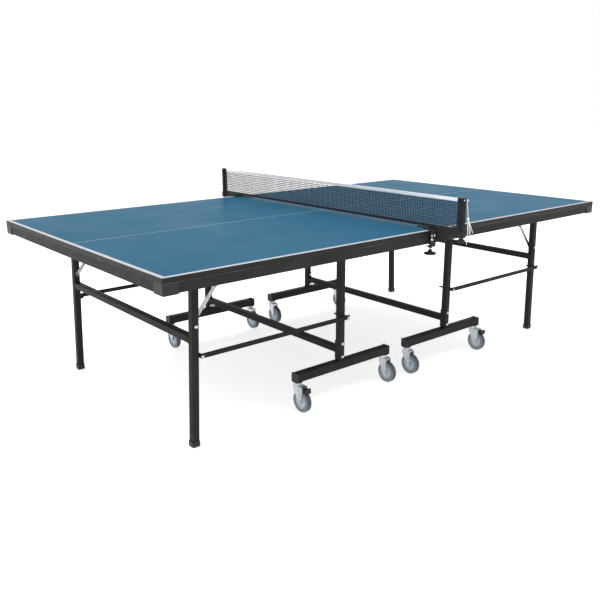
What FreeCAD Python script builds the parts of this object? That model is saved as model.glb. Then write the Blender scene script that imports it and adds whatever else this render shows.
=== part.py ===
"""Folding ping pong table on two roll-apart trolleys, with a clamp-on net.

Frame: millimetres, +Z up, +X along the table, -Y is the front side.
The origin is on the floor under the middle of the table.
Each half is a tabletop that tips up about a pivot on its own trolley. Its outer legs
stay upright, because two link bars make a parallelogram with the tabletop.
"""
import FreeCAD, Part
import math
import os

V = FreeCAD.Vector

# Playing size
LENGTH = 2740.0
WIDTH = 1525.0
HEIGHT = 760.0
HALF_GAP = 2.2          # each tabletop stops this far from the net line

# Tabletop and its steel edge frame
PANEL_T = 22.0
PANEL_Z = HEIGHT - PANEL_T
RAIL_Z = 700.0          # underside of the frame
RAIL_IN = 3.0           # frame set back from the panel's edge
RAIL_W = 20.0
RAIL_T = 2.0
NET_RAIL_Z = 721.0      # the rail under the net edge is shallower

# Row of legs, uprights and foot beams
SIDE_Y = 549.0
TUBE = 30.0
TUBE_T = 1.5
HALF_TUBE = TUBE / 2

# Pivots, as distance from the net line and height
TIP_X, PIVOT_Z = 335.0, 725.0
LEG_X = 1101.0
PIN_R = 4.0
RUN = 0.05              # radial clearance of every turning fit
LUG_R = 9.5

# Outer legs
FOOT_X = 1154.0
SPLAY = 2.43            # degrees, feet outwards
LEG_TOP = 733.0
LEG_BAR_Z = 440.0

# Trolley
UPRIGHT_X = 372.0
UPRIGHT_TOP = 733.0
BEAM = 40.0
BEAM_T = 2.0
BEAM_Z0 = 134.0
BEAM_X0, BEAM_X1 = 65.0, 640.0
CROSS_Z = 223.0
BOLT_ZS = (192.0, 254.0)

# Link bars: a round eye at the -X end, an open fork at the +X end
LINK_Z = 376.0
LINK_LEN = 766.0
LINK_H = 19.0
LINK_EYE_X = {-1: -1116.0, 1: 394.0}
LINK_Y0, LINK_Y1 = 568.0, 574.0
ROD_OUT = 577.0

# Folding braces
BRACE_LEG = (1132.0, 496.0)
BRACE_TOP = (950.0, 715.0)
BRACE_LOWER = 175.0
BRACE_T = 2.0

# Casters
CASTER_XS = (84.0, 620.0)
WHEEL_R = 50.0
WHEEL_W = 26.0
TYRE_R0 = 34.0
TRAIL = 28.0
FORK_X = 14.5
FORK_T = 2.5
CROWN_Z = 116.0
AXLE_R = 4.0
STEM_R = 6.0

# Net set
POST_Y = 905.0
POST = 20.0
POST_TOP = 914.0
NET_TOP = 912.5
NET_Y = 892.4
CLAMP_X = -23.0
CLAMP_Y = 760.0

# White tension cord of the net: it hangs from the peg at the top of the front post
CORD_R = 1.5
HOOK = (7.0, 905.5)
CORD_ROUTE = ((7.0, -919.0, 902.2), (11.0, -923.5, 864.0), (16.5, -923.0, 824.0),
              (12.5, -925.5, 787.0), (18.5, -924.0, 752.0), (14.5, -924.5, 720.0))
TAIL_ROUTE = ((18.5, -921.5, 824.0), (29.0, -921.0, 808.0), (39.5, -924.5, 785.0),
              (52.0, -923.5, 764.0))


def box(x0, x1, y0, y1, z0, z1):
    x0, x1 = sorted((x0, x1))
    y0, y1 = sorted((y0, y1))
    return Part.makeBox(x1 - x0, y1 - y0, z1 - z0, V(x0, y0, z0))


def rod(r, p0, p1):
    a, b = V(*p0), V(*p1)
    return Part.makeCylinder(r, (b - a).Length, a, b - a)


def fuse(shapes):
    out = shapes[0].multiFuse(shapes[1:]) if len(shapes) > 1 else shapes[0]
    return out.removeSplitter()


def rounded(shape, axis, r):
    """Round the edges that run along one axis."""
    edges = []
    for e in shape.Edges:
        if len(e.Vertexes) == 2:
            d = e.Vertexes[1].Point - e.Vertexes[0].Point
            if d.Length > 0.1 and abs(abs(d.dot(axis)) / d.Length - 1) < 1e-6:
                edges.append(e)
    return shape.makeFillet(r, edges)


def square_tube(x0, x1, y0, y1, z0, z1, axis, wall, r=3.0):
    """Open square tube that fills the box, hollow along the axis."""
    outer = rounded(box(x0, x1, y0, y1, z0, z1), axis, r)
    grow = [0 if axis[i] else wall for i in range(3)]
    lo = (min(x0, x1) + grow[0], min(y0, y1) + grow[1], z0 + grow[2])
    hi = (max(x0, x1) - grow[0], max(y0, y1) - grow[1], z1 - grow[2])
    bore = rounded(box(lo[0], hi[0], lo[1], hi[1], lo[2], hi[2]), axis, r - wall)
    return outer.cut(bore)


def plate_xz(points, y0, y1):
    """Flat plate cut to an outline in X and Z, from y0 to y1."""
    wire = Part.makePolygon([V(x, y0, z) for x, z in points + points[:1]])
    return Part.Face(wire).extrude(V(0, y1 - y0, 0))


def plate_yz(points, x0, x1):
    """Flat plate cut to an outline in Y and Z, from x0 to x1."""
    wire = Part.makePolygon([V(x0, y, z) for y, z in points + points[:1]])
    return Part.Face(wire).extrude(V(x1 - x0, 0, 0))


def strip(p0, p1, width, y0, y1):
    """Flat bar with round ends between two points in X and Z."""
    (x0, z0), (x1, z1) = p0, p1
    d = math.hypot(x1 - x0, z1 - z0)
    nx, nz = -(z1 - z0) / d * width / 2, (x1 - x0) / d * width / 2
    body = plate_xz([(x0 + nx, z0 + nz), (x1 + nx, z1 + nz),
                     (x1 - nx, z1 - nz), (x0 - nx, z0 - nz)], y0, y1)
    ends = [rod(width / 2, (x, y0, z), (x, y1, z)) for x, z in (p0, p1)]
    return fuse([body] + ends)


def rear(shape):
    """The same piece on the rear side of the table."""
    return shape.mirror(V(0, 0, 0), V(0, 1, 0))


def pair(shape):
    return [shape, rear(shape)]


def save(name, solids):
    out = []
    for s in solids:
        out += s.Solids
    Part.makeCompound(out).exportStep("parts/%s.step" % name)


# ---- one half of the table; s is -1 for the left half and 1 for the right half

def tabletop(s):
    panel = box(s * HALF_GAP, s * LENGTH / 2, -WIDTH / 2, WIDTH / 2, PANEL_Z, HEIGHT)
    return [rounded(panel, V(0, 0, 1), 3.0)]


def apron_frame(s):
    """Welded channel rails round the underside, open towards the inside."""
    x0, x1 = 4.0, LENGTH / 2 - RAIL_IN
    y1 = WIDTH / 2 - RAIL_IN
    side = box(s * x0, s * x1, -y1, -y1 + RAIL_W, RAIL_Z, PANEL_Z)
    end = box(s * (x1 - RAIL_W), s * x1, -y1, y1, RAIL_Z, PANEL_Z)
    net = box(s * x0, s * (x0 + RAIL_W), -y1, y1, NET_RAIL_Z, PANEL_Z)
    frame = rounded(fuse([side, rear(side), end, net]), V(0, 0, 1), 1.0)
    zc0, zc1 = RAIL_Z + RAIL_T, PANEL_Z - RAIL_T
    side_groove = box(s * (x0 - 1), s * (x1 - RAIL_T), -y1 + RAIL_T, -y1 + RAIL_W + 1, zc0, zc1)
    end_groove = box(s * (x1 - RAIL_W - 1), s * (x1 - RAIL_T), -y1 + RAIL_T, y1 - RAIL_T, zc0, zc1)
    net_groove = box(s * (x0 + RAIL_T), s * (x0 + RAIL_W + 1), -y1 + RAIL_T, y1 - RAIL_T,
                     NET_RAIL_Z + RAIL_T, zc1)
    return [frame.cut(side_groove).cut(rear(side_groove)).cut(end_groove).cut(net_groove)]


def corner_caps(s):
    """Plastic corner guards round the two end corners of the frame."""
    x1, y1 = LENGTH / 2, WIDTH / 2
    xi, yi = x1 - RAIL_IN, y1 - RAIL_IN
    cap = box(s * (x1 - 62), s * x1, -y1, -y1 + 65, RAIL_Z - 3, PANEL_Z)
    cap = rounded(cap, V(0, 0, 1), 3.0)
    room = box(s * (x1 - 75), s * xi, -yi, -y1 + 75, RAIL_Z, PANEL_Z)
    under = box(s * (x1 - 75), s * (xi - RAIL_W), -yi + RAIL_W, -y1 + 75, RAIL_Z - 4, RAIL_Z + 1)
    return pair(cap.cut(room).cut(under))


def u_bracket(x):
    """Bracket screwed under the panel, with its own riveted pin across the two ears."""
    parts = [box(x - 20, x + 20, -SIDE_Y - 26, -SIDE_Y + 26, PANEL_Z - 2.5, PANEL_Z)]
    for y0 in (-SIDE_Y - 18.5, -SIDE_Y + 15.5):
        parts.append(box(x - 20, x + 20, y0, y0 + 3, PIVOT_Z, PANEL_Z))
        parts.append(box(x - 12, x + 12, y0, y0 + 3, PIVOT_Z - 8, PIVOT_Z))
        parts.append(rod(12, (x, y0, PIVOT_Z), (x, y0 + 3, PIVOT_Z)))
    parts.append(rod(PIN_R, (x, -SIDE_Y - 20, PIVOT_Z), (x, -SIDE_Y + 20, PIVOT_Z)))
    return fuse(parts)


def brace_tab(s):
    """Angle under the panel that carries the upper end of one folding brace."""
    x, z = s * BRACE_TOP[0], BRACE_TOP[1]
    y0 = -SIDE_Y + HALF_TUBE + 5.3
    ear = box(x - 15, x + 15, y0, y0 + 2, z - 10, PANEL_Z)
    foot = box(x - 15, x + 15, y0, y0 + 22, PANEL_Z - 2.5, PANEL_Z)
    stud = rod(3.0, (x, y0 + 1, z), (x, y0 - 2.5, z))
    return fuse([ear, foot, stud])


def hinge_brackets(s):
    return (pair(u_bracket(s * TIP_X)) + pair(u_bracket(s * LEG_X)) + pair(brace_tab(s)))


def link_rod(face_x, inner_y):
    """Cross rod on a tube's +X face: the link bar turns on its outer end."""
    x = face_x + 7.0
    tab = box(face_x - 1.0, x, -SIDE_Y - 11, -SIDE_Y + 13, LINK_Z - 8, LINK_Z + 8)
    nose = rod(8.0, (x, -SIDE_Y - 11, LINK_Z), (x, -SIDE_Y + 13, LINK_Z))
    bar = rod(PIN_R, (x, -ROD_OUT, LINK_Z), (x, -inner_y, LINK_Z))
    head = rod(7.0, (x, -ROD_OUT - 2, LINK_Z), (x, -LINK_Y1 - 0.4, LINK_Z))
    return fuse([tab, nose, bar, head])


def lug(x, face_x):
    """Lug with a running bore, welded to the face of a tube at pivot height."""
    plate = box(x, face_x, -SIDE_Y - 10, -SIDE_Y + 10, PIVOT_Z - LUG_R, PIVOT_Z + LUG_R)
    nose = rod(LUG_R, (x, -SIDE_Y - 10, PIVOT_Z), (x, -SIDE_Y + 10, PIVOT_Z))
    bore = rod(PIN_R + RUN, (x, -SIDE_Y - 11, PIVOT_Z), (x, -SIDE_Y + 11, PIVOT_Z))
    return fuse([plate, nose]).cut(bore)


def uprights(s):
    x = s * UPRIGHT_X
    post = square_tube(x - HALF_TUBE, x + HALF_TUBE, -SIDE_Y - HALF_TUBE, -SIDE_Y + HALF_TUBE,
                       BEAM_Z0 + BEAM, UPRIGHT_TOP, V(0, 0, 1), TUBE_T)
    ear = lug(s * TIP_X, s * (UPRIGHT_X - HALF_TUBE + 1))
    post = fuse([post, ear, link_rod(x + HALF_TUBE, 487.0)])
    for z in BOLT_ZS:
        post = post.cut(rod(4.1, (x, -SIDE_Y - 20, z), (x, -SIDE_Y + 20, z)))
    return pair(post)


def leg_post(s):
    """One outer leg, leaning so that its foot is further out than its top."""
    y0, y1 = -SIDE_Y - HALF_TUBE, -SIDE_Y + HALF_TUBE
    leg = square_tube(-HALF_TUBE, HALF_TUBE, y0, y1, -40, LEG_TOP + 40, V(0, 0, 1), TUBE_T)
    leg.rotate(V(0, 0, 0), V(0, 1, 0), -s * SPLAY)
    leg.translate(V(s * FOOT_X, 0, 0))
    return leg.common(box(s * 900, s * 1300, -700, -400, 6, LEG_TOP))


def leg_x(z):
    """Distance of the leg's centre line from the net line, at a height."""
    return FOOT_X - z * math.tan(math.radians(SPLAY))


def outer_leg_frame(s):
    """Two legs, their crossbar, hinge lugs, link rods and brace studs, welded up."""
    bar_x = s * leg_x(LEG_BAR_Z)
    leg = leg_post(s)
    ear = lug(s * LEG_X, s * (leg_x(PIVOT_Z) - HALF_TUBE + 1))
    link = link_rod(LINK_EYE_X[-1] - 7.0, 530.0) if s < 0 else link_rod(1153.0, 503.0)
    ax, az = s * BRACE_LEG[0], BRACE_LEG[1]
    stud = rod(3.0, (ax, -SIDE_Y - HALF_TUBE - 1, az), (ax, -SIDE_Y + HALF_TUBE + 4, az))
    inner = -SIDE_Y + HALF_TUBE + 2.8
    stud_head = rod(5.0, (ax, inner, az), (ax, inner + 1.5, az))
    bolt_head = rod(7.0, (ax, -SIDE_Y - HALF_TUBE - 3, az), (ax, -SIDE_Y - HALF_TUBE, az))
    side = fuse([leg, ear, link, stud, stud_head, bolt_head])
    bar = square_tube(bar_x - HALF_TUBE, bar_x + HALF_TUBE, -SIDE_Y + HALF_TUBE,
                      SIDE_Y - HALF_TUBE, LEG_BAR_Z - HALF_TUBE, LEG_BAR_Z + HALF_TUBE,
                      V(0, 1, 0), TUBE_T)
    return [fuse([side, rear(side), bar])]


def leg_feet(s):
    """Plastic feet that wrap the leg ends and stand on the floor."""
    x = s * leg_x(12)
    foot = box(x - 17.5, x + 17.5, -SIDE_Y - 17.5, -SIDE_Y + 17.5, 0, 26)
    foot = rounded(foot, V(0, 0, 1), 5.0)
    foot = foot.makeFillet(5.0, [e for e in foot.Edges if e.BoundBox.ZMax < 0.01])
    return pair(foot.cut(leg_post(s)))


def foot_beams(s):
    x0, x1 = sorted((s * (BEAM_X0 + 5), s * (BEAM_X1 - 5)))
    beam = square_tube(x0, x1, -SIDE_Y - BEAM / 2, -SIDE_Y + BEAM / 2,
                       BEAM_Z0, BEAM_Z0 + BEAM, V(1, 0, 0), BEAM_T, 4.0)
    for cx in CASTER_XS:
        x = s * cx
        beam = beam.cut(rod(STEM_R + 0.3, (x, -SIDE_Y, BEAM_Z0 - 1), (x, -SIDE_Y, BEAM_Z0 + 5)))
        beam = beam.cut(rod(4.3, (x, -SIDE_Y, BEAM_Z0 + 30), (x, -SIDE_Y, BEAM_Z0 + 45)))
    return pair(beam)


def end_cap(x, inward):
    """Cap on one end of a foot beam; its plug holds the caster stem."""
    y0, y1 = -SIDE_Y - BEAM / 2, -SIDE_Y + BEAM / 2
    z0, z1 = BEAM_Z0, BEAM_Z0 + BEAM
    flange = rounded(box(x, x + inward * 5, y0 - 1.5, y1 + 1.5, z0 - 1.5, z1 + 1.5), V(1, 0, 0), 4.0)
    lip = box(x, x + inward * 8, y0 + 2, y1 - 2, z0 - 2.5, z0 - 0.3)
    plug = box(x + inward * 5, x + inward * 36, y0 + 2.4, y1 - 2.4, z0 + 2.4, z1 - 2.4)
    return fuse([flange, lip, plug])


def beam_end_caps(s):
    caps = []
    for x, inward, cx in ((s * BEAM_X0, s, CASTER_XS[0]), (s * BEAM_X1, -s, CASTER_XS[1])):
        cap = end_cap(x, inward)
        hole = rod(STEM_R + 0.3, (s * cx, -SIDE_Y, BEAM_Z0 - 5), (s * cx, -SIDE_Y, BEAM_Z0 + 50))
        caps += pair(cap.cut(hole))
    return caps


def crossbar(s):
    x = s * UPRIGHT_X
    y1 = SIDE_Y - HALF_TUBE
    bar = square_tube(x - HALF_TUBE, x + HALF_TUBE, -y1 + 3, y1 - 3, CROSS_Z - HALF_TUBE,
                      CROSS_Z + HALF_TUBE, V(0, 1, 0), TUBE_T)
    plate = box(x - HALF_TUBE, x + HALF_TUBE, -y1, -y1 + 3, BOLT_ZS[0] - 14, BOLT_ZS[1] + 14)
    for z in BOLT_ZS:
        plate = plate.cut(rod(4.1, (x, -y1 - 1, z), (x, -y1 + 4, z)))
    return [fuse([bar, plate, rear(plate)])]


def caster_stem(x, y):
    """Kingpin: its head is under the fork's crown and its thread goes up through the beam."""
    return fuse([
        rod(9.0, (x, y, CROWN_Z - 4.5), (x, y, CROWN_Z - 0.5)),
        rod(STEM_R, (x, y, CROWN_Z - 1), (x, y, BEAM_Z0 + 36)),
        rod(8.0, (x, y, 131.3), (x, y, BEAM_Z0 - 0.2)),
        rod(4.0, (x, y, BEAM_Z0 + 35), (x, y, BEAM_Z0 + BEAM + 3)),
    ])


def trolley_bolts(s):
    """Frame bolts with their nuts, and the four caster stems."""
    x = s * UPRIGHT_X
    y0 = -SIDE_Y - HALF_TUBE
    bolts = []
    for z in BOLT_ZS:
        bolts.append(fuse([rod(7.0, (x, y0 - 3, z), (x, y0, z)),
                           rod(4.0, (x, y0 - 1, z), (x, -SIDE_Y + HALF_TUBE + 10, z)),
                           rod(6.5, (x, -SIDE_Y + HALF_TUBE + 3, z),
                               (x, -SIDE_Y + HALF_TUBE + 9, z))]))
    out = []
    for b in bolts + [caster_stem(s * cx, -SIDE_Y) for cx in CASTER_XS]:
        out += pair(b)
    return out


def link_bars(s):
    x0 = LINK_EYE_X[s]
    x1 = x0 + LINK_LEN
    bar = strip((x0, LINK_Z), (x1, LINK_Z), LINK_H, -LINK_Y1, -LINK_Y0)
    tip = box(x1, x1 + 14, -LINK_Y1, -LINK_Y0, LINK_Z - LINK_H / 2, LINK_Z + LINK_H / 2)
    hole_r = PIN_R + RUN
    slot = box(x1, x1 + 20, -LINK_Y1 - 1, -LINK_Y0 + 1, LINK_Z - hole_r, LINK_Z + hole_r)
    bar = fuse([bar, tip]).cut(slot)
    for x in (x0, x1):
        bar = bar.cut(rod(hole_r, (x, -LINK_Y1 - 1, LINK_Z), (x, -LINK_Y0 + 1, LINK_Z)))
    return pair(bar)


def brace_knee(s):
    """Where the two parts of a brace meet when the leg is out."""
    (ax, az), (cx, cz) = BRACE_LEG, BRACE_TOP
    k = BRACE_LOWER / math.hypot(cx - ax, cz - az)
    return s * (ax + k * (cx - ax)), az + k * (cz - az)


def lower_braces(s):
    y0 = -SIDE_Y + HALF_TUBE + 0.5
    a = (s * BRACE_LEG[0], BRACE_LEG[1])
    b = brace_knee(s)
    bar = strip(a, b, 16.0, y0, y0 + BRACE_T)
    bar = bar.cut(rod(3.0 + RUN, (a[0], y0 - 1, a[1]), (a[0], y0 + 3, a[1])))
    return pair(bar.cut(rod(3.0, (b[0], y0 - 1, b[1]), (b[0], y0 + 3, b[1]))))


def upper_braces(s):
    """Wider, perforated part of the brace, with the knee rivet's head."""
    y0 = -SIDE_Y + HALF_TUBE + 3.0
    b = brace_knee(s)
    c = (s * BRACE_TOP[0], BRACE_TOP[1])
    bar = strip(b, c, 22.0, y0, y0 + BRACE_T)
    for k, r in ((0.25, 4.0), (0.5, 4.0), (0.75, 4.0), (1.0, 3.0 + RUN)):
        x, z = b[0] + k * (c[0] - b[0]), b[1] + k * (c[1] - b[1])
        bar = bar.cut(rod(r, (x, y0 - 1, z), (x, y0 + 3, z)))
    head = rod(5.0, (b[0], y0 + BRACE_T - 0.5, b[1]), (b[0], y0 + BRACE_T + 2, b[1]))
    return pair(fuse([bar, head]))


# ---- casters; x, y is the stem, and the wheel trails towards -Y

def caster_fork(x, y, braked):
    yc = y - TRAIL
    housing = rod(20.0, (x, y, CROWN_Z + 2), (x, y, 131.0))
    back = y - 46 if braked else y - 34
    crown = box(x - FORK_X - FORK_T, x + FORK_X + FORK_T, back, y + 14, CROWN_Z, CROWN_Z + 2.5)
    parts = [housing, crown]
    outline = [(y + 14, CROWN_Z + 1), (y + 14, 100), (yc + 11, 52), (yc + 8, 42), (yc - 8, 42),
               (yc - 11, 52), (back, 100), (back, CROWN_Z + 1)]
    for x0 in (x - FORK_X - FORK_T, x + FORK_X):
        parts.append(plate_yz(outline, x0, x0 + FORK_T))
    reach = FORK_X + FORK_T
    parts.append(rod(AXLE_R, (x - reach - 3, yc, WHEEL_R), (x + reach + 3, yc, WHEEL_R)))
    for a, b in ((-reach - 3, -reach), (reach, reach + 3)):
        parts.append(rod(7.0, (x + a, yc, WHEEL_R), (x + b, yc, WHEEL_R)))
    if braked:
        parts.append(rod(3.0, (x - reach, y - 38, 109), (x + reach, y - 38, 109)))
    fork = fuse(parts)
    return [fork.cut(rod(STEM_R + RUN, (x, y, CROWN_Z - 5), (x, y, 140)))]


def caster_wheel(x, y):
    """Plastic hub with raised boss, and the tyre round it."""
    yc = y - TRAIL
    half = WHEEL_W / 2

    def disc(r, h):
        return rod(r, (x - h, yc, WHEEL_R), (x + h, yc, WHEEL_R))

    hub = fuse([disc(TYRE_R0, 9.0), disc(10.0, half), disc(TYRE_R0, 11.0).cut(disc(28.0, 12.0))])
    hub = hub.cut(disc(AXLE_R + RUN, half + 1))
    tyre = disc(WHEEL_R, half)
    tyre = tyre.makeFillet(5.0, [e for e in tyre.Edges if len(e.Vertexes) == 1])
    return [hub, tyre.cut(disc(TYRE_R0, half + 1))]


def brake_pedal(x, y):
    """Brake lever: a curved shoe over the tyre with an upturned toe, hinged behind the crown."""
    yc = y - TRAIL
    w = WHEEL_W / 2

    def disc(r):
        return rod(r, (x - w, yc, WHEEL_R), (x + w, yc, WHEEL_R))

    def ray(deg):
        a = math.radians(deg)
        return (yc - 140 * math.cos(a), WHEEL_R + 140 * math.sin(a))

    sector = plate_yz([(yc, WHEEL_R), ray(86), ray(48)], x - w, x + w)
    shoe = disc(65.0).cut(disc(56.0)).common(sector)
    boss = rod(6.0, (x - w, y - 38, 109), (x + w, y - 38, 109))
    toe = plate_yz([(yc - 32, 104), (yc - 35, 118), (yc - 42, 118), (yc - 44, 98), (yc - 39, 94)],
                   x - w, x + w)
    lever = fuse([shoe, boss, toe])
    return [lever.cut(rod(3.0 + RUN, (x - w - 1, y - 38, 109), (x + w + 1, y - 38, 109)))]


# ---- net set; the front pieces, and their mirror images at the rear

def net():
    """Mesh, white top tape, bottom band and side bands."""
    z0 = HEIGHT + 8
    zt = NET_TOP - 15
    solids = [box(-1, 1, -NET_Y + 15, NET_Y - 15, z0 + 8, zt),
              box(-4, 4, -NET_Y, NET_Y, zt, NET_TOP),
              box(-2, 2, -NET_Y, NET_Y, z0, z0 + 8)]
    return solids + pair(box(-2, 2, -NET_Y, -NET_Y + 15, z0 + 8, zt))


def net_post():
    """Square post with a screw near its top."""
    h = POST / 2
    post = square_tube(-h, h, -POST_Y - h, -POST_Y + h, 746, POST_TOP - 4, V(0, 0, 1), 1.5, 2.5)
    cap = rounded(box(-h, h, -POST_Y - h, -POST_Y + h, POST_TOP - 4, POST_TOP), V(0, 0, 1), 2.5)
    screw = rod(3.2, (-5, -POST_Y - h - 2, POST_TOP - 7.5), (-5, -POST_Y - h + 1, POST_TOP - 7.5))
    return fuse([post, cap, screw])


def cord_hook():
    """Small peg with a head at the top of the front post, where the cord comes out."""
    x, z = HOOK
    y = -POST_Y - POST / 2
    return fuse([rod(2.8, (x, y + 1, z), (x, y - 7, z)), rod(4.0, (x, y - 7, z), (x, y - 9, z))])


def net_bracket():
    """Steel arm out to the post: a tongue on the table, a side plate and a post socket."""
    edge = WIDTH / 2
    plate = plate_yz([(-917, 742), (-917, 758), (-890, 770), (-790, 775), (-745, 771),
                      (-700, 763.5), (-700, HEIGHT + 0.6), (-edge - 1.5, HEIGHT + 0.6),
                      (-edge - 1.5, 712), (-815, 712), (-855, 738), (-890, 742)], 2.6, 6.6)
    tongue = box(2.6, 32, -edge + 6, -652, HEIGHT + 0.6, HEIGHT + 3.6)
    h = POST / 2
    sleeve = box(-h - 2.3, h + 2.3, -POST_Y - h - 2.3, -POST_Y + h + 2.3, 742, 772)
    arm = fuse([plate, tongue, sleeve])
    return arm.cut(box(-h - 0.3, h + 0.3, -POST_Y - h - 0.3, -POST_Y + h + 0.3, 745, 780))


def cord_tube(route, name):
    """Plain tube of straight runs and tangent arcs through the route's points."""
    pts = [V(*p) for p in route]
    edges, length, start = [], 0.0, pts[0]
    for a, b, c in zip(pts, pts[1:], pts[2:]):
        u, w = (a - b).normalize(), (c - b).normalize()
        half_turn = (math.pi - u.getAngle(w)) / 2
        run = min((a - b).Length, (c - b).Length)
        radius = 0.45 * run / math.tan(half_turn)
        t0, t1 = b + u * (0.45 * run), b + w * (0.45 * run)
        centre = b + (u + w).normalize() * (radius / math.cos(half_turn))
        mid = centre + (b - centre).normalize() * radius
        edges += [Part.LineSegment(start, t0).toShape(), Part.Arc(t0, mid, t1).toShape()]
        length += (t0 - start).Length + radius * 2 * half_turn
        print("%s bend radius %.0f mm, turn %.0f deg" % (name, radius, math.degrees(2 * half_turn)))
        start = t1
    edges.append(Part.LineSegment(start, pts[-1]).toShape())
    length += (pts[-1] - start).Length
    ring = Part.Wire(Part.makeCircle(CORD_R, pts[0], pts[1] - pts[0]))
    tube = Part.Wire(edges).makePipeShell([ring], True, True)
    expected = math.pi * CORD_R ** 2 * length
    print("%s length %.1f mm, volume ratio %.4f" % (name, length, tube.Volume / expected))
    return tube


def post_knob():
    """Screw knob under the post socket."""
    y = -POST_Y
    body = fuse([rod(15.0, (0, y, 722), (0, y, 736)), rod(9.0, (0, y, 736), (0, y, 741.5))])
    ribs = [rod(3.0, (14 * math.cos(a), y + 14 * math.sin(a), 722),
                (14 * math.cos(a), y + 14 * math.sin(a), 736))
            for a in [math.radians(60 * i) for i in range(6)]]
    return fuse([body] + ribs)


def clamp_frame():
    """C clamp over the table's edge: upper jaw, back and a thin lower jaw with a welded nut."""
    x0, x1 = CLAMP_X - 17, CLAMP_X + 17
    back_y = -WIDTH / 2 - 4
    y = -CLAMP_Y + 3
    back = box(x0, x1, back_y - 6, back_y, 686, HEIGHT + 5)
    upper = box(x0, x1, back_y - 1, -728, HEIGHT + 0.4, HEIGHT + 5)
    lower = box(x0, x1, back_y - 1, -742, 686, 689)
    nut = rod(9.0, (CLAMP_X, y, 681), (CLAMP_X, y, 687))
    frame = rounded(fuse([back, upper, lower]), V(0, 1, 0), 1.4)
    bolts = [rod(5.0, (CLAMP_X + dx, back_y - 8.5, z), (CLAMP_X + dx, back_y - 5, z))
             for dx, z in ((-9, 738), (9, 738), (-9, 722))]
    frame = fuse([frame, nut] + bolts)
    return frame.cut(rod(5.05, (CLAMP_X, y, 660), (CLAMP_X, y, 695)))


def clamp_pad():
    """Swivel pad that presses up on the frame; a short pin hangs from it."""
    y = -CLAMP_Y + 3
    return fuse([rod(9.0, (CLAMP_X, y, 695.6), (CLAMP_X, y, 699)),
                 rod(2.5, (CLAMP_X, y, 689), (CLAMP_X, y, 696))])


def clamp_screw():
    """Threaded rod with a cone and a round hand knob."""
    y = -CLAMP_Y + 3
    knob = rod(28.0, (CLAMP_X, y, 650), (CLAMP_X, y, 659))
    knob = knob.makeFillet(3.0, [e for e in knob.Edges if len(e.Vertexes) == 1])
    cone = Part.makeCone(13.0, 7.0, 14.0, V(CLAMP_X, y, 659))
    screw = fuse([knob, cone, rod(5.0, (CLAMP_X, y, 672), (CLAMP_X, y, 695))])
    return screw.cut(rod(2.55, (CLAMP_X, y, 688), (CLAMP_X, y, 696)))


def main():
    os.makedirs("parts", exist_ok=True)
    makers = (tabletop, apron_frame, corner_caps, hinge_brackets, uprights, outer_leg_frame,
              leg_feet, foot_beams, beam_end_caps, link_bars, lower_braces, upper_braces)
    for s, side in ((-1, "left"), (1, "right")):
        for make in makers:
            save("%s_%s" % (side, make.__name__), make(s))
        save("%s_trolley_crossbar" % side, crossbar(s))
        save("%s_trolley_bolts" % side, trolley_bolts(s))
        for y, row in ((-SIDE_Y, "front"), (SIDE_Y, "rear")):
            for cx, place in zip(CASTER_XS, ("inner", "outer")):
                name = "%s_%s_%s" % (side, row, place)
                braked = place == "outer"
                save(name + "_caster_fork", caster_fork(s * cx, y, braked))
                save(name + "_caster_wheel", caster_wheel(s * cx, y))
                if braked:
                    save(name + "_brake_pedal", brake_pedal(s * cx, y))
    save("net", net())
    save("net_posts", [fuse([net_post(), cord_hook()]), rear(net_post())])
    save("net_cord", [cord_tube(CORD_ROUTE, "net_cord")])
    save("net_cord_tail", [cord_tube(TAIL_ROUTE, "net_cord_tail")])
    save("net_brackets", pair(net_bracket()))
    save("net_clamp_frames", pair(clamp_frame()))
    for name, shape in (("post_knob", post_knob()), ("clamp_pad", clamp_pad()),
                        ("clamp_screw", clamp_screw())):
        save("front_" + name, [shape])
        save("rear_" + name, [rear(shape)])


main()
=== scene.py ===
"""Looks of the folding ping pong table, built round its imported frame. Metres, +Z up."""
import bmesh
import bpy
import math
import random
from mathutils import Euler, Matrix, Vector


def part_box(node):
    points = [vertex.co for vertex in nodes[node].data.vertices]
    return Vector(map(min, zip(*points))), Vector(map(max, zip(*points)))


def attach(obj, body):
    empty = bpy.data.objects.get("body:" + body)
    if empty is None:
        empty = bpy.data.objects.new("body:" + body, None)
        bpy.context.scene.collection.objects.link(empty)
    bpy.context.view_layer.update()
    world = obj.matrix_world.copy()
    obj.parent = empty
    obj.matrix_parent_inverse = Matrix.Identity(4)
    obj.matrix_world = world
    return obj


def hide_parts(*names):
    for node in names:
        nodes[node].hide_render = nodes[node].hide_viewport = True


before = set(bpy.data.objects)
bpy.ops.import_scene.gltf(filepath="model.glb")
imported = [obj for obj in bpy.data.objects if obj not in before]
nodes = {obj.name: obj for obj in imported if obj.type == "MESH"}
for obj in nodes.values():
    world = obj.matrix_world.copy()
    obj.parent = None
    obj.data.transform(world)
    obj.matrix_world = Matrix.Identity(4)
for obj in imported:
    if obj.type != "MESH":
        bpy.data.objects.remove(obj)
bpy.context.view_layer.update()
scene = bpy.context.scene

LENGTH, WIDTH = 2.74, 1.525
SIDES = (("left", -1), ("right", 1))
ROWS = (("front", -1), ("rear", 1))
SIDE_Y = 0.549              # middle of the side tubes: uprights, outer legs and casters
UPRIGHT_X = 0.372
CASTER_XS = (0.084, 0.62)
PIVOT_XS = (0.335, 1.101)   # top tilt and outer leg pivots
LINK_Z, LINK_ROD_Y = 0.376, 0.5788
LINK_LEG_XS = {-1: -1.116, 1: 1.160}
BRACE_X, BRACE_Z = 1.132, 0.496
BOLT_FACE_Y = 0.5668
CLAMP_X, CLAMP_Y = -0.023, 0.757
POST_Y = 0.905


# ---- camera

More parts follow.
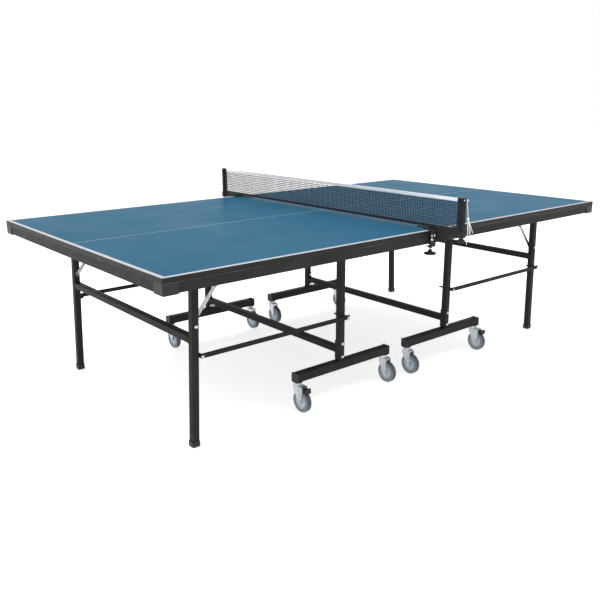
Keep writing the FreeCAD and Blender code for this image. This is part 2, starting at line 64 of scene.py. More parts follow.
def place_camera():
    data = bpy.data.cameras.new("camera")
    data.lens, data.sensor_width = 42.37, 36.0
    cam = bpy.data.objects.new("camera", data)
    yaw, pitch, roll = (math.radians(a) for a in (39.796, 15.887, -0.212))
    turn = (Euler((0, 0, -yaw)).to_matrix() @ Euler((math.pi / 2 - pitch, 0, 0)).to_matrix()
            @ Euler((0, 0, roll)).to_matrix())
    cam.matrix_world = Matrix.Translation((-2.4522, -2.763, 1.3206)) @ turn.to_4x4()
    scene.collection.objects.link(cam)
    scene.camera = cam


place_camera()


# ---- procedural materials

class Finish:
    """A node material. Calling it adds a node; a value that is a socket is linked."""

    def __init__(self, name, **fixed):
        self.mat = bpy.data.materials.new(name)
        self.mat.use_nodes = True
        self.bsdf = self.mat.node_tree.nodes["Principled BSDF"]
        self.set(self.bsdf, fixed)
        self.at = self("TexCoord").outputs["Object"]

    def __call__(self, kind, sockets=None, **props):
        made = self.mat.node_tree.nodes.new("ShaderNode" + kind)
        for key, value in props.items():
            setattr(made, key, value)
        self.set(made, sockets or {})
        return made

    def set(self, made, sockets):
        for key, value in sockets.items():
            key = key.replace("_", " ") if isinstance(key, str) else key
            if isinstance(value, bpy.types.NodeSocket):
                self.mat.node_tree.links.new(value, made.inputs[key])
            else:
                made.inputs[key].default_value = value

    def stretched(self, scale):
        return self("Mapping", {"Vector": self.at, "Scale": scale}).outputs[0]

    def noise(self, scale, detail=2.0, where=None, rough=0.5):
        return self("TexNoise", {"Vector": where or self.at, "Scale": scale, "Detail": detail,
                                 "Roughness": rough}).outputs["Fac"]

    def cells(self, scale, feature="F1", where=None):
        return self("TexVoronoi", {"Vector": where or self.at, "Scale": scale},
                    feature=feature).outputs["Distance"]

    def sum(self, operation, a, b=0.5, c=0.5):
        return self("Math", {0: a, 1: b, 2: c}, operation=operation).outputs[0]

    def span(self, value, low, high, to_low=0.0, to_high=1.0):
        return self("MapRange", {"Value": value, "From Min": low, "From Max": high,
                                 "To Min": to_low, "To Max": to_high}).outputs["Result"]

    def mix(self, factor, a, b):
        return self("MixRGB", {"Fac": factor, "Color1": a, "Color2": b}).outputs[0]

    def tones(self, value, low, high, dark, light):
        return self.mix(self.span(value, low, high), dark, light)

    def relief(self, height, depth, strength=1.0, below=None):
        sockets = {"Height": height, "Distance": depth, "Strength": strength}
        if below is not None:
            sockets["Normal"] = below
        return self("Bump", sockets).outputs[0]

    def paint(self, **linked):
        self.set(self.bsdf, linked)
        return self.mat


def rgb(r, g, b):
    """Linear colour of an sRGB colour given in 0 to 255."""
    return tuple(((c / 255 + 0.055) / 1.055) ** 2.4 if c > 10 else c / 3295 for c in (r, g, b)) + (1,)


LINE_IN, LINE_OUT = 0.0187, 0.0183   # the line's soft inner edge, from the top's edge
SEAM_Z = (0.7392, 0.7396)


def playing_surface():
    """Satin blue paint with white side and end lines and a thin centre line."""
    f = Finish("blue_playing_surface", Specular_IOR_Level=0.012)
    axes = f("SeparateXYZ", {0: f.at}).outputs
    wander = f.span(f.noise(60, 2), 0.3, 0.7, -0.00015, 0.00015)
    x, y = (f.sum("ADD", f.sum("ABSOLUTE", axes[i]), wander) for i in (0, 1))
    side = f.span(y, WIDTH / 2 - LINE_IN, WIDTH / 2 - LINE_OUT)
    end = f.span(x, LENGTH / 2 - LINE_IN, LENGTH / 2 - LINE_OUT)
    centre = f.span(y, 0.00135, 0.0017, 1.0, 0.0)
    line = f.sum("MAXIMUM", f.sum("MAXIMUM", side, end), centre)
    cloud = f.noise(2.2, 4)
    grain = f.noise(1400, 2)
    blue = f.tones(cloud, 0.3, 0.7, rgb(25, 90, 120), rgb(31, 97, 127))
    blue = f.mix(f.span(grain, 0.35, 0.75, 0.0, 0.2), blue, rgb(42, 109, 138))
    scuffs = f.span(f.noise(7, 6, f.stretched((1, 2.6, 1)), 0.7), 0.66, 0.8, 0.0, 0.12)
    blue = f.mix(scuffs, blue, rgb(64, 121, 149))
    white = f.tones(f.noise(35, 3), 0.3, 0.7, rgb(188, 192, 200), rgb(200, 204, 212))
    return f.paint(Base_Color=f.mix(line, blue, white),
                   Roughness=f.span(f.noise(5, 5), 0.3, 0.7, 0.3, 0.38),
                   Normal=f.relief(grain, 0.00005, 0.5))


def edge_paint():
    """Black edge band, a little warm, with a pale worn seam low on the two long sides."""
    f = Finish("black_edge_band", Specular_IOR_Level=0.2)
    ribs = f.noise(900, 2, f.stretched((1, 1, 5)))
    axes = f("SeparateXYZ", {0: f.at}).outputs
    seam = f.sum("MULTIPLY", f.span(axes[2], *SEAM_Z, 1.0, 0.0),
                 f.span(f.sum("ABSOLUTE", axes[1]), WIDTH / 2 - 0.001, WIDTH / 2 - 0.0005))
    wear = f.sum("MULTIPLY", seam, f.span(f.noise(3, 3), 0.42, 0.6, 0.0, 0.9))
    band = f.tones(f.noise(18, 4), 0.3, 0.7, rgb(23, 21, 20), rgb(30, 28, 26))
    return f.paint(Base_Color=f.mix(wear, band, rgb(92, 91, 90)),
                   Roughness=f.span(f.noise(60, 3), 0.3, 0.7, 0.42, 0.56),
                   Normal=f.relief(ribs, 0.00008, 0.7))


def under_paper():
    """Dark balancing paper under the board."""
    f = Finish("dark_backing_paper", Specular_IOR_Level=0.2)
    fibre = f.noise(160, 4, f.stretched((1, 6, 1)))
    return f.paint(Base_Color=f.tones(fibre, 0.3, 0.7, rgb(28, 29, 31), rgb(40, 41, 43)),
                   Roughness=f.span(f.noise(25, 3), 0.3, 0.7, 0.6, 0.75),
                   Normal=f.relief(fibre, 0.00008, 0.6))


def powder_coat(name, dark, light, rough):
    """Powder-coated steel: fine orange peel, and slow changes in tone and gloss."""
    f = Finish(name, Specular_IOR_Level=0.04)
    peel = f.sum("ADD", f.noise(420, 2), f.sum("MULTIPLY", f.noise(1500, 1), 0.35))
    tone = f.sum("ADD", f.noise(9, 4), f.span(f.noise(900, 2), 0.3, 0.7, -0.12, 0.12))
    return f.paint(Base_Color=f.tones(tone, 0.3, 0.7, dark, light),
                   Roughness=f.span(f.noise(26, 4), 0.3, 0.7, rough - 0.06, rough + 0.07),
                   Normal=f.relief(peel, 0.00009, 0.6))


def zinc_plate(name="bright_zinc", light=(205, 207, 210), rough=0.3):
    """Zinc-plated steel: soft spangle, rolling lines and small scratches."""
    f = Finish(name, Metallic=1.0)
    spangle = f.cells(160)
    rolled = f.noise(240, 3, f.stretched((1, 1, 7)))
    scratch = f.span(f.noise(90, 5, f.stretched((9, 1, 1)), 0.7), 0.64, 0.7)
    tone = f.tones(f.sum("ADD", spangle, f.noise(30, 3)), 0.5, 1.3,
                   rgb(*(c - 40 for c in light)), rgb(*light))
    return f.paint(Base_Color=f.mix(f.sum("MULTIPLY", scratch, 0.35), tone, rgb(120, 122, 126)),
                   Roughness=f.sum("ADD", f.span(rolled, 0.3, 0.7, rough - 0.06, rough + 0.08),
                                   f.sum("MULTIPLY", scratch, 0.1)),
                   Normal=f.relief(f.sum("ADD", rolled, f.sum("MULTIPLY", scratch, -0.6)),
                                   0.00006, 0.5))


def moulded(name, dark, light, rough=0.5, grain=700.0):
    """Injection-moulded plastic with a fine leathery grain."""
    f = Finish(name, Specular_IOR_Level=0.3)
    pebble = f.sum("ADD", f.cells(grain, "SMOOTH_F1"), f.sum("MULTIPLY", f.noise(grain * 2.2, 2), 0.4))
    return f.paint(Base_Color=f.tones(f.noise(22, 4), 0.3, 0.7, dark, light),
                   Roughness=f.span(f.noise(75, 3), 0.3, 0.7, rough - 0.07, rough + 0.08),
                   Normal=f.relief(pebble, 0.00014, 0.6))


def rubber(name, dark, light):
    """Tyre rubber with patches of pale dust."""
    f = Finish(name, Specular_IOR_Level=0.25)
    dust = f.span(f.noise(130, 6, rough=0.7), 0.45, 0.75)
    return f.paint(Base_Color=f.mix(f.sum("MULTIPLY", dust, 0.5), dark, light),
                   Roughness=f.span(dust, 0.0, 1.0, 0.52, 0.78),
                   Normal=f.relief(f.noise(1100, 3), 0.00016, 0.7))


def woven(name, dark, light, threads=1500.0, rough=0.85, fuzz=0.3):
    """Plain weave: two crossed sets of threads, darker where the weave dips between them (painted
    shade), and a little fuzz.
    """
    f = Finish(name, Sheen_Weight=fuzz, Sheen_Roughness=0.5)
    axes = f("SeparateXYZ", {0: f.at}).outputs
    along, up = (f.sum("SINE", f.sum("MULTIPLY", axes[i], threads * 2)) for i in (1, 2))
    weave = f.sum("MULTIPLY", along, up)
    # painted shade: the colour darkens where the weave dips, following the weave relief; the noise adds
    # a random tone
    tone = f.sum("ADD", f.span(weave, -1, 1, 0.2, 0.65), f.span(f.noise(70, 4), 0.3, 0.7, -0.15, 0.25))
    return f.paint(Base_Color=f.tones(tone, 0.1, 0.8, dark, light),
                   Roughness=f.span(f.noise(200, 3), 0.3, 0.7, rough - 0.06, rough + 0.06),
                   Normal=f.relief(weave, 0.0002, 0.7))


def twine(name, dark, light, pitch=420.0, sheen=0.35):
    """Twisted or braided thread: slanting strands along Z, darker in the grooves between the strands:
    painted shade.
    """
    f = Finish(name, Sheen_Weight=sheen, Sheen_Roughness=0.45)
    axes = f("SeparateXYZ", {0: f.at}).outputs
    round_ = f.sum("MULTIPLY", f.sum("ADD", axes[0], axes[1]), pitch * 2.4)
    up = f.sum("MULTIPLY", axes[2], pitch * 2)
    strand = f.sum("MAXIMUM", f.sum("SINE", f.sum("ADD", up, round_)),
                   f.sum("SINE", f.sum("SUBTRACT", up, round_)))
    # painted shade: the colour darkens in the grooves between the strands, following the strand relief;
    # the noise adds a random tone
    tone = f.sum("ADD", f.span(strand, 0, 1, 0.0, 0.7), f.span(f.noise(150, 4), 0.3, 0.7, -0.1, 0.3))
    return f.paint(Base_Color=f.tones(tone, 0.0, 0.9, dark, light),
                   Roughness=f.span(f.noise(300, 2), 0.3, 0.7, 0.75, 0.9),
                   Normal=f.relief(strand, 0.00025, 0.8))


BLUE_TOP = playing_surface()
EDGE_BAND = edge_paint()
BACKING = under_paper()
APRON = powder_coat("apron_powder_coat", rgb(40, 41, 41), rgb(47, 48, 48), 0.42)
FRAME_BLACK = powder_coat("frame_powder_coat", rgb(37, 37, 38), rgb(44, 44, 45), 0.4)
BRACKET_GREY = powder_coat("bracket_powder_coat", rgb(45, 46, 46), rgb(53, 54, 54), 0.42)
ZINC = zinc_plate()
BRIGHT = zinc_plate("bright_fastener", (240, 241, 243), 0.2)
DULL_ZINC = zinc_plate("dull_zinc", (206, 211, 217), 0.42)
BRACE_ZINC = zinc_plate("brace_zinc", (172, 173, 177), 0.38)
CAP_PLASTIC = moulded("corner_plastic", rgb(24, 25, 25), rgb(31, 32, 32), 0.46, 620)
BLACK_PLASTIC = moulded("black_plastic", rgb(22, 22, 23), rgb(32, 32, 33), 0.48)
HUB_PLASTIC = moulded("grey_hub_plastic", rgb(158, 170, 178), rgb(180, 191, 198), 0.4, 900)
TREAD = rubber("grey_tread", rgb(70, 76, 80), rgb(104, 110, 114))
TYRE_WALL = rubber("pale_tyre_wall", rgb(112, 121, 128), rgb(140, 148, 153))
# the twine finishes (net thread, stitching, cord) carry painted shade in the grooves between strands
NET_THREAD = twine("navy_net_thread", rgb(7, 20, 38), rgb(17, 38, 64), 600, 0.06)
# the woven finishes (tape, band) carry painted shade where the weave dips between threads
TAPE_WHITE = woven("white_cotton_tape", rgb(222, 221, 222), rgb(247, 246, 246))
BAND_BLACK = woven("black_net_band", rgb(13, 13, 15), rgb(27, 27, 30), 1300, 0.85, 0.08)
STITCH = twine("white_stitching", rgb(205, 204, 203), rgb(238, 237, 236), 900)
CORD_WHITE = twine("white_braided_cord", rgb(206, 206, 204), rgb(248, 248, 247), 520)


def coat(node, *finishes, choose=None):
    """Give a CAD node its finishes; choose picks one for each polygon."""
    mesh = nodes[node].data
    mesh.materials.clear()
    for finish in finishes:
        mesh.materials.append(finish)
    for poly in mesh.polygons:
        poly.material_index = choose(poly) if choose else 0


# ---- mesh helpers

def new_mesh(name, verts, faces, finish, smooth=True):
    mesh = bpy.data.meshes.new(name)
    mesh.from_pydata([tuple(v) for v in verts], [], faces)
    bm = bmesh.new()
    bm.from_mesh(mesh)
    bmesh.ops.recalc_face_normals(bm, faces=bm.faces)
    bm.to_mesh(mesh)
    bm.free()
    mesh.materials.append(finish)
    for poly in mesh.polygons:
        poly.use_smooth = smooth
    obj = bpy.data.objects.new(name, mesh)
    scene.collection.objects.link(obj)
    return obj


def sharpen(obj, degrees=35.0):
    """Smooth shading, with sharp edges where faces meet at a steeper angle."""
    bm = bmesh.new()
    bm.from_mesh(obj.data)
    for edge in bm.edges:
        edge.smooth = len(edge.link_faces) == 2 and edge.calc_face_angle(0.0) < math.radians(degrees)
    bm.to_mesh(obj.data)
    bm.free()
    return obj


class Batch:
    """Several closed shapes gathered into one mesh."""

    def __init__(self):
        self.verts, self.faces = [], []

    def loops(self, rings, closed=False):
        """Skin a list of equal rings; the ends are closed unless the rings make a circle."""
        base, n = len(self.verts), len(rings[0])
        for ring in rings:
            self.verts += ring
        count = len(rings)
        for k in range(count if closed else count - 1):
            a, b = base + k * n, base + (k + 1) % count * n
            for i in range(n):
                j = (i + 1) % n
                self.faces.append((a + i, a + j, b + j, b + i))
        if not closed:
            self.faces.append(tuple(range(base + n - 1, base - 1, -1)))
            last = base + (count - 1) * n
            self.faces.append(tuple(range(last, last + n)))

    def tube(self, path, radius, sides=6, closed=False):
        """A round tube along a path; radius is a number or one for each point."""
        rings, count, side = [], len(path), None
        for k, p in enumerate(path):
            before = path[k - 1] if closed or k else p
            after = path[(k + 1) % count] if closed or k < count - 1 else p
            along = (after - before).normalized()
            if side is None:
                side = along.orthogonal().normalized()
            side = (side - along * side.dot(along)).normalized()
            over = along.cross(side)
            r = radius[k] if isinstance(radius, (list, tuple)) else radius
            rings.append([p + (side * math.cos(t) + over * math.sin(t)) * r
                          for t in (2 * math.pi * i / sides for i in range(sides))])
        self.loops(rings, closed)

    def lathe(self, centre, axis, profile, sides=32, shape=None):
        """Turn (distance along, radius) pairs about an axis; shape(angle, along) scales the radius."""
        axis = Vector(axis).normalized()
        side = axis.orthogonal().normalized()
        over = axis.cross(side)
        rings = []
        for along, radius in profile:
            ring = []
            for i in range(sides):
                t = 2 * math.pi * i / sides
                r = radius * (shape(t, along) if shape else 1.0)
                ring.append(Vector(centre) + axis * along
                            + (side * math.cos(t) + over * math.sin(t)) * r)
            rings.append(ring)
        self.loops(rings)

    def make(self, name, finish, body, slot, smooth_angle=35.0):
        obj = new_mesh(name, self.verts, self.faces, finish)
        if smooth_angle:
            sharpen(obj, smooth_angle)
        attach(obj, body)
        return obj


# ---- cords: the net's white tension cord, with its bow

CORD_R = 0.0015
KNOT = (0.0168, -0.9215, 0.8255)
FRAYS = 9
CORD_ROUTE = ((0.007, -0.919, 0.9022), (0.011, -0.9235, 0.864), (0.0165, -0.923, 0.824),
              (0.0125, -0.9255, 0.787), (0.0185, -0.924, 0.752), (0.0145, -0.9245, 0.720))
TAIL_ROUTE = ((0.0185, -0.9215, 0.824), (0.029, -0.921, 0.808), (0.0395, -0.9245, 0.785),
              (0.052, -0.9235, 0.764))
BOW_LOOP = ((0.0175, -0.9238, 0.826), (0.0203, -0.9246, 0.81), (0.0232, -0.925, 0.785),
            (0.0262, -0.925, 0.763), (0.031, -0.9246, 0.754), (0.0356, -0.9238, 0.762),
            (0.0335, -0.9224, 0.786), (0.0262, -0.922, 0.81), (0.0185, -0.9225, 0.825))


def cord_curve(name, route):
    curve = bpy.data.curves.new(name, "CURVE")
    curve.dimensions = "3D"
    curve.bevel_depth, curve.bevel_resolution, curve.resolution_u = CORD_R, 3, 16
    curve.use_fill_caps = True
    spline = curve.splines.new("NURBS")
    spline.points.add(len(route) - 1)
    for point, place in zip(spline.points, route):
        point.co = (*place, 1.0)
    spline.order_u = 3
    spline.use_endpoint_u = True
    curve.materials.append(CORD_WHITE)
    obj = bpy.data.objects.new(name, curve)
    scene.collection.objects.link(obj)
    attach(obj, "net_set")
    return obj


def cord_knot():
    """The knot of the bow: close turns round the cord, and the frayed ends of both cords."""
    knot = Batch()
    centre = Vector(KNOT)
    turns, steps = 2.5, 39
    path = []
    for k in range(steps + 1):
        t = k / steps
        turn = 2 * math.pi * turns * t
        path.append(centre + Vector((0.0034 * math.cos(turn), 0.0032 * math.sin(turn),
                                     0.0045 - 0.009 * t)))
    knot.tube(path, CORD_R, 8)
    cross = [centre + Vector((0.0037 * math.sin(t), -0.0026 + 0.0008 * math.cos(2 * t),
                              0.0055 * math.cos(t)))
             for t in (math.pi * k / 11 for k in range(12))]
    knot.tube(cross, CORD_R * 0.95, 8)
    for end, drop in ((Vector(CORD_ROUTE[-1]), Vector((-0.3, 0, -1))),
                      (Vector(TAIL_ROUTE[-1]), Vector((0.5, 0, -1)))):
        for k in range(FRAYS):
            a = 2 * math.pi * k / FRAYS
            spread = Vector((math.cos(a), math.sin(a), 0)) * 0.0009
            tip = end + (drop.normalized() * 0.006 + spread * (1.2 + 0.25 * (k % 3)))
            knot.tube([end - drop.normalized() * 0.001 + spread * 0.8, (end + spread + tip) / 2, tip],
                      [0.0004, 0.0004, 0.00025], 5)
    return knot.make("net_cord_knot", CORD_WHITE, "net_set", "white_cord", None)


main_cord = cord_curve("tension_cord", CORD_ROUTE)
tail_cord = cord_curve("tension_cord_tail", TAIL_ROUTE)
bow = cord_curve("tension_cord_bow", BOW_LOOP)
knot = cord_knot()
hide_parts("net_cord")
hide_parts("net_cord_tail")


# ---- net: mesh, tape, bottom band and side sleeves

NET_HALF, SLEEVE = 0.8915, 0.0155
MESH_Z0, MESH_Z1, NET_TOP = 0.781, 0.8985, 0.9125
BAND_Z0 = 0.768
THREAD_R = 0.0018
MESH_PITCH = 0.0098
THREAD_SQUASH = 0.8     # the threads are flatter across the net than along it
THREAD_SWAY = 0.00055
TAPE_SEAM_Z = 0.8995


def net_mesh():
    """Knotless square mesh: each thread is a small tube that weaves past those it crosses."""
    rng = random.Random(7)
    half = NET_HALF - SLEEVE + 0.001
    columns = round(2 * half / MESH_PITCH)
    rows = round((MESH_Z1 - MESH_Z0) / MESH_PITCH)
    ys = [-half + 2 * half * k / columns for k in range(columns + 1)]
    zs = [MESH_Z0 - 0.001 + (MESH_Z1 - MESH_Z0 + 0.002) * k / rows for k in range(rows + 1)]
    knots = {(i, k): Vector((0, ys[i] + rng.uniform(-0.0006, 0.0006),
                             zs[k] + rng.uniform(-0.0005, 0.0005)))
             for i in range(columns + 1) for k in range(rows + 1)}
    threads = Batch()

    def lay(cells, first):
        path = []
        for n, cell in enumerate(cells):
            lift = THREAD_SWAY if (n + first) % 2 else -THREAD_SWAY
            here = knots[cell] + Vector((lift, 0, 0))
            if path:
                path.append((path[-1] + here) / 2)
            path.append(here)
        thick = [THREAD_R * (1.12 if n % 2 == 0 else 0.93) for n in range(len(path))]
        threads.tube(path, thick, 5)

    for i in range(columns + 1):
        lay([(i, k) for k in range(rows + 1)], i)
    for k in range(1, rows):
        lay([(i, k) for i in range(columns + 1)], k + 1)
    for vert in threads.verts:
        vert.x *= THREAD_SQUASH
    return threads.make("net_mesh", NET_THREAD, "net_set", "net_fabric", None)


def net_strip(name, profile, y0, y1, finish, step=0.02, ripple=0.0003):
    """A sewn strip: an (x, z) outline run along the net with a slight ripple."""
    strip = Batch()
    count = max(2, round((y1 - y0) / step))
    rings = []
    for k in range(count + 1):
        y = y0 + (y1 - y0) * k / count
        sway = ripple * (math.sin(y * 23.0) + 0.6 * math.sin(y * 61.0 + 1.0))
        rings.append([Vector((x + sway, y, z)) for x, z in profile])
    strip.loops(rings)
    return strip.make(name, finish, "net_set", "net_fabric", 50)


def hem_outline(z0, z1, thin, bulge, up=True):
    """A doubled strip with a cord in the fold at one edge."""
    r = bulge
    fold = [(r * math.cos(t), r * math.sin(t)) for t in (math.pi * k / 8 for k in range(9))]
    if up:
        arc = [(x, z1 - r + z) for x, z in fold]
        return [(thin, z0), (thin, z1 - 2.6 * r), *arc, (-thin, z1 - 2.6 * r), (-thin, z0)]
    arc = [(x, z0 + r - z) for x, z in fold]
    return [(thin, z1), (thin, z0 + 2.6 * r), *arc, (-thin, z0 + 2.6 * r), (-thin, z1)]


def stitches():
    """A row of stitching along the tape's lower edge, on both faces."""
    rows = Batch()
    half = NET_HALF - SLEEVE - 0.003
    z = TAPE_SEAM_Z
    for x in (0.00155, -0.00155):
        y = -half
        while y < half:
            rows.tube([Vector((x * 0.8, y, z)), Vector((x, y + 0.0009, z)),
                       Vector((x, y + 0.0028, z)), Vector((x * 0.8, y + 0.0036, z))], 0.00042, 5)
            y += 0.0052
    return rows.make("net_tape_stitching", STITCH, "net_set", "net_fabric", None)


def side_sleeves():
    """Black sleeves at both ends of the net, folded round the post's lacing edge."""
    sleeves, steps = Batch(), 12
    for _, s in ROWS:
        y_in, y_out = s * (NET_HALF - SLEEVE), s * NET_HALF
        rings = []
        for k in range(steps + 1):
            z = BAND_Z0 - 0.0002 + (NET_TOP + 0.0008 - BAND_Z0) * k / steps
            puff = 0.0023 + 0.0003 * math.sin(k * 1.9)
            if k == steps:
                puff *= 0.8
            rings.append([Vector((x, y, z)) for x, y in (
                (puff, y_in), (puff * 1.15, (y_in + y_out) / 2), (puff, y_out - s * 0.001),
                (puff * 0.4, y_out), (-puff * 0.4, y_out), (-puff, y_out - s * 0.001),
                (-puff * 1.15, (y_in + y_out) / 2), (-puff, y_in))])
        sleeves.loops(rings)
    return sleeves.make("net_side_sleeves", BAND_BLACK, "net_set", "net_fabric", 50)


tape_half = NET_HALF - SLEEVE + 0.0005
threads = net_mesh()
tape = net_strip("net_top_tape", hem_outline(0.8975, NET_TOP, 0.0013, 0.0026),
                 -tape_half, tape_half, TAPE_WHITE)
band = net_strip("net_bottom_band", hem_outline(BAND_Z0, MESH_Z0 + 0.0005, 0.0011, 0.0017, up=False),
                 -tape_half, tape_half, BAND_BLACK)
sewing = stitches()
sleeves = side_sleeves()
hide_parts("net")


# ---- fasteners

def button_head(batch, at, out, radius, height, drive=6):
    """Domed screw head with a recess; at is the middle of its seat."""
    dome = [(0, radius), (height * 0.35, radius * 0.97), (height * 0.7, radius * 0.82),
            (height * 0.95, radius * 0.58), (height, radius * 0.5)]
    batch.lathe(at, out, dome + [(height, radius * 0.42)], 24)
    # the recess is a short well of its own, and its rim stands on the dome's flat
    well = [(height * 0.96, radius * 0.44), (height * 1.03, radius * 0.44),
            (height * 1.03, radius * 0.36), (height * 0.72, radius * 0.3)]
    batch.lathe(at, out, well, drive)


def hex_nut(batch, at, out, radius, height):
    batch.lathe(at, out, [(0, radius * 0.94), (height * 0.12, radius), (height * 0.85, radius),
                          (height, radius * 0.86), (height, radius * 0.55)], 6)


def fastener_sets():
    for side, s in SIDES:
        trolley, stems, legs, top = Batch(), Batch(), Batch(), Batch()
        x = s * UPRIGHT_X
        for _, r in ROWS:
            out = (0, r, 0)
            for z in (0.192, 0.254):
                button_head(trolley, (x, r * BOLT_FACE_Y, z), out, 0.0074, 0.0035)
                hex_nut(trolley, (x, r * 0.5312, z), (0, -r, 0), 0.0079, 0.0066)
            for cx in CASTER_XS:
                button_head(stems, (s * cx, r * SIDE_Y, 0.1768), (0, 0, 1), 0.0066, 0.0034)
            button_head(trolley, (x + 0.022, r * LINK_ROD_Y, LINK_Z), out, 0.0068, 0.0034)
            button_head(legs, (LINK_LEG_XS[s], r * LINK_ROD_Y, LINK_Z), out, 0.0068, 0.0034)
            button_head(legs, (s * BRACE_X, r * BOLT_FACE_Y, BRACE_Z), out, 0.0074, 0.0036)
            for px in PIVOT_XS:
                for dx in (-0.014, 0.014):
                    for dy in (-0.0215, 0.0215):
                        button_head(top, (s * px + dx, r * SIDE_Y + dy, 0.7356), (0, 0, -1),
                                    0.0036, 0.0022, 4)
        trolley.make(side + "_trolley_fastener_heads", ZINC, side + "_trolley", "zinc_steel")
        stems.make(side + "_stem_heads", FRAME_BLACK, side + "_trolley", "black_steel")
        legs.make(side + "_leg_fastener_heads", ZINC, side + "_outer_legs", "zinc_steel")
        top.make(side + "_bracket_screws", ZINC, side + "_top", "zinc_steel")
    clamps = Batch()
    for _, r in ROWS:
        for bx, bz in ((-0.032, 0.738), (-0.014, 0.738), (-0.032, 0.722)):
            washer = [(0, 0.0069), (0.0007, 0.0069), (0.0012, 0.0064), (0.0014, 0.0052),
                      (0.0014, 0.0046)]
            clamps.lathe((bx, r * 0.7725, bz), (0, r, 0), washer, 28)
            button_head(clamps, (bx, r * 0.7748, bz), (0, r, 0), 0.005, 0.0012)
    clamps.make("net_clamp_bolt_heads", BRIGHT, "left_top", "zinc_steel")


fastener_sets()


# ---- weld beads where tubes meet

def weld(batch, corners, thick=0.0016):
    """A rippled bead along the edges between corner points, closed into a loop."""
    path, radii = [], []
    for a, b in zip(corners, corners[1:] + corners[:1]):
        a, b = Vector(a), Vector(b)
        count = max(3, round((b - a).length / 0.0016))
        for k in range(count):
            path.append(a.lerp(b, k / count))
            radii.append(thick * (1.0 + 0.22 * math.sin(len(path) * 2.1)))
    batch.tube(path, radii, 6, closed=True)


LEG_LEAN = math.tan(math.radians(2.43))
LEG_FOOT_X, LEG_BAR_Z = 1.154, 0.44
TROLLEY_BAR_Z, BEAM_TOP_Z = 0.223, 0.1743
BEAD_HALF, BEAM_BEAD_X, BEAM_BEAD_Y = 0.0146, 0.0152, 0.0145


def bead_square(x, y, z):
    """Corners of the bead round the end of a crossbar."""
    return [(x - BEAD_HALF, y, z - BEAD_HALF), (x + BEAD_HALF, y, z - BEAD_HALF),
            (x + BEAD_HALF, y, z + BEAD_HALF), (x - BEAD_HALF, y, z + BEAD_HALF)]


def weld_sets():
    for side, s in SIDES:
        legs, trolley = Batch(), Batch()
        bar_x = s * (LEG_FOOT_X - LEG_BAR_Z * LEG_LEAN)
        up_x = s * UPRIGHT_X
        for _, r in ROWS:
            weld(legs, bead_square(bar_x, r * (SIDE_Y - 0.0152), LEG_BAR_Z))
            weld(trolley, bead_square(up_x, r * (SIDE_Y - 0.0182), TROLLEY_BAR_Z))
            y0, y1 = r * (SIDE_Y - BEAM_BEAD_Y), r * (SIDE_Y + BEAM_BEAD_Y)
            x0, x1, z = up_x - BEAM_BEAD_X, up_x + BEAM_BEAD_X, BEAM_TOP_Z
            weld(trolley, [(x0, y0, z), (x1, y0, z), (x1, y1, z), (x0, y1, z)])
        legs.make(side + "_leg_weld_beads", FRAME_BLACK, side + "_outer_legs", "black_steel", None)
        trolley.make(side + "_trolley_weld_beads", FRAME_BLACK, side + "_trolley", "black_steel", None)


weld_sets()


# ---- hand knobs and the threaded clamp rods

def clamp_screw(row, s):
    """Round hand knob with finger grips, its cone and a real thread up to the pad."""
    x, y = CLAMP_X, s * CLAMP_Y
    turned = Batch()
    grip = [(0.6503, 0.0215), (0.6506, 0.0248), (0.6518, 0.0268), (0.654, 0.0279), (0.656, 0.0279),
            (0.6578, 0.0269), (0.6588, 0.025), (0.6591, 0.0218), (0.6594, 0.0150)]
    turned.lathe((x, y, 0), (0, 0, 1), [(0.6503, 0.008)] + grip + [(0.6596, 0.0135)], 72,
                 lambda t, z: 1.0 - (0.045 * (0.5 - 0.5 * math.cos(12 * t)) ** 2
                                     if 0.6506 < z < 0.659 else 0))
    turned.lathe((x, y, 0), (0, 0, 1), [(0.6592, 0.0129), (0.662, 0.0122), (0.666, 0.0103),
                                        (0.670, 0.0083), (0.6728, 0.0072), (0.6732, 0.0052)], 36)
    turned.make(row + "_clamp_hand_knob", BLACK_PLASTIC, row + "_clamp_screw_body", "black_plastic")
    thread = Batch()
    rings, pitch, sides = [], 0.002, 24
    z0, z1 = 0.673, 0.6948
    steps = round((z1 - z0) / pitch) * 6
    for k in range(steps + 1):
        z = z0 + (z1 - z0) * k / steps
        ring = []
        for i in range(sides):
            t = 2 * math.pi * i / sides
            phase = (z / pitch - t / (2 * math.pi)) % 1.0
            r = 0.0042 + 0.0008 * (1 - abs(2 * phase - 1))
            ring.append(Vector((x + r * math.cos(t), y + r * math.sin(t), z)))
        rings.append(ring)
    thread.loops(rings)
    rod = thread.make(row + "_clamp_thread", DULL_ZINC, row + "_clamp_screw_body", "zinc_steel", None)
    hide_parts(row + "_clamp_screw")


def post_knob(row, s):
    """Six-lobed plastic knob under the post."""
    turned = Batch()
    body = [(0.7221, 0.009), (0.7222, 0.0141), (0.7232, 0.0158), (0.725, 0.0164), (0.733, 0.0164),
            (0.7346, 0.0156), (0.7356, 0.0142), (0.7362, 0.0098), (0.7378, 0.0091), (0.7413, 0.0089),
            (0.7414, 0.005)]
    turned.lathe((0, s * POST_Y, 0), (0, 0, 1), body, 72,
                 lambda t, z: 1.0 - (0.13 * (0.5 - 0.5 * math.sin(6 * t)) ** 1.4
                                     if z < 0.7357 else 0))
    knob = turned.make(row + "_post_hand_knob", BLACK_PLASTIC, row + "_post_knob_body", "black_plastic")
    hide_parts(row + "_post_knob")


for row, s in ROWS:
    clamp_screw(row, s)
    post_knob(row, s)


# ---- finishes of the CAD nodes

HUB_R = 0.0339


def board_face(poly):
    """Blue above, backing paper below, and the band at the edges."""
    if abs(poly.normal.z) < 0.7:
        return 1
    return 0 if poly.normal.z > 0 else 2


def wheel_zones(node):
    """Chooser for a wheel: hub, tread and tyre walls."""
    low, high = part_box(node)
    mid = (low + high) / 2

    def zone(poly):
        if math.hypot(poly.center.y - mid.y, poly.center.z - mid.z) < HUB_R:
            return 0
        return 2 if abs(poly.normal.x) > 0.6 else 1
    return zone


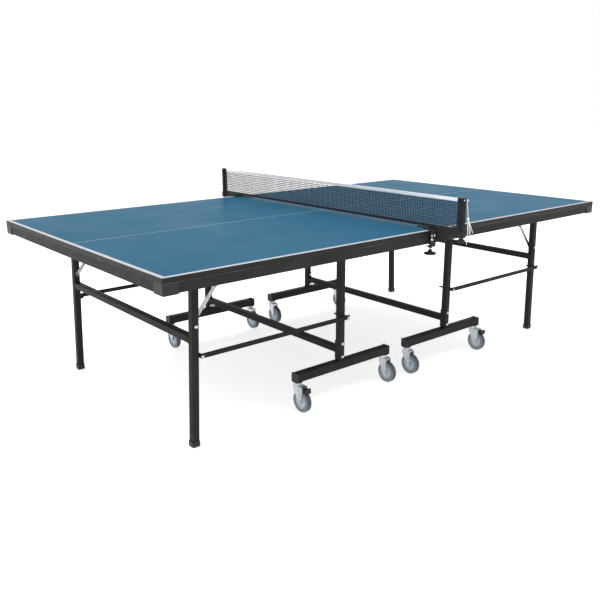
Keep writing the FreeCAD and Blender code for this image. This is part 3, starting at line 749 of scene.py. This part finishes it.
def finish_half(side):
    coat(side + "_tabletop", BLUE_TOP, EDGE_BAND, BACKING, choose=board_face)
    coat(side + "_apron_frame", APRON)
    coat(side + "_corner_caps", CAP_PLASTIC)
    coat(side + "_hinge_brackets", DULL_ZINC)
    for part in ("uprights", "outer_leg_frame", "foot_beams", "trolley_crossbar", "link_bars"):
        coat(side + "_" + part, FRAME_BLACK)
    for part in ("leg_feet", "beam_end_caps"):
        coat(side + "_" + part, BLACK_PLASTIC)
    coat(side + "_lower_braces", BRACE_ZINC)
    coat(side + "_upper_braces", BRACE_ZINC)
    coat(side + "_trolley_bolts", ZINC)
    for row, _ in ROWS:
        for place in ("inner", "outer"):
            name = "%s_%s_%s" % (side, row, place)
            coat(name + "_caster_fork", DULL_ZINC)
            coat(name + "_caster_wheel", HUB_PLASTIC, TREAD, TYRE_WALL,
                 choose=wheel_zones(name + "_caster_wheel"))
        coat("%s_%s_outer_brake_pedal" % (side, row), BLACK_PLASTIC)


def finish_net_set():
    coat("net_posts", FRAME_BLACK, BRIGHT,
         choose=lambda p: int(abs(p.center.y) > 0.9153 and p.center.z > 0.9))
    coat("net_brackets", BRACKET_GREY)
    coat("net_clamp_frames", BRACKET_GREY, BRIGHT,
         choose=lambda p: int(abs(p.center.y) > 0.7727 and p.center.z > 0.70))
    for row, _ in ROWS:
        coat(row + "_clamp_pad", BLACK_PLASTIC)


for side, _ in SIDES:
    finish_half(side)
finish_net_set()


# ---- floor and light

def stage_floor():
    f = Finish("pale_floor", Specular_IOR_Level=0.1, Emission_Color=(1, 1, 1, 1), Emission_Strength=0.6)
    tint = f.noise(0.8, 4)
    f.paint(Base_Color=f.tones(tint, 0.3, 0.7, rgb(246, 246, 246), rgb(250, 250, 250)),
            Roughness=f.span(f.noise(3, 3), 0.3, 0.7, 0.75, 0.9))
    reach, sides = 30.0, 64
    verts = [(reach * math.cos(2 * math.pi * k / sides), reach * math.sin(2 * math.pi * k / sides),
              -0.0005) for k in range(sides)]
    floor = new_mesh("floor", verts, [tuple(range(sides))], f.mat, smooth=False)


def softbox(name, at, aim, size, power):
    data = bpy.data.lights.new(name, "AREA")
    data.shape, data.size, data.size_y, data.energy = "RECTANGLE", size[0], size[1], power
    lamp = bpy.data.objects.new(name, data)
    lamp.location = at
    lamp.rotation_euler = (Vector(aim) - Vector(at)).to_track_quat("-Z", "Y").to_euler()
    scene.collection.objects.link(lamp)


def light_studio():
    world = bpy.data.worlds.new("studio")
    world.use_nodes = True
    sky = world.node_tree.nodes["Background"]
    sky.inputs["Color"].default_value = (1.0, 1.0, 1.0, 1.0)
    sky.inputs["Strength"].default_value = 1.0
    scene.world = world
    scene.view_settings.view_transform = "Standard"
    softbox("left_softbox", (-4.2, 1.2, 2.6), (0, 0, 0.6), (3.0, 2.4), 16)
    softbox("top_softbox", (0.3, -0.4, 4.2), (0, 0, 0.7), (4.0, 2.6), 40)


stage_floor()
light_studio()
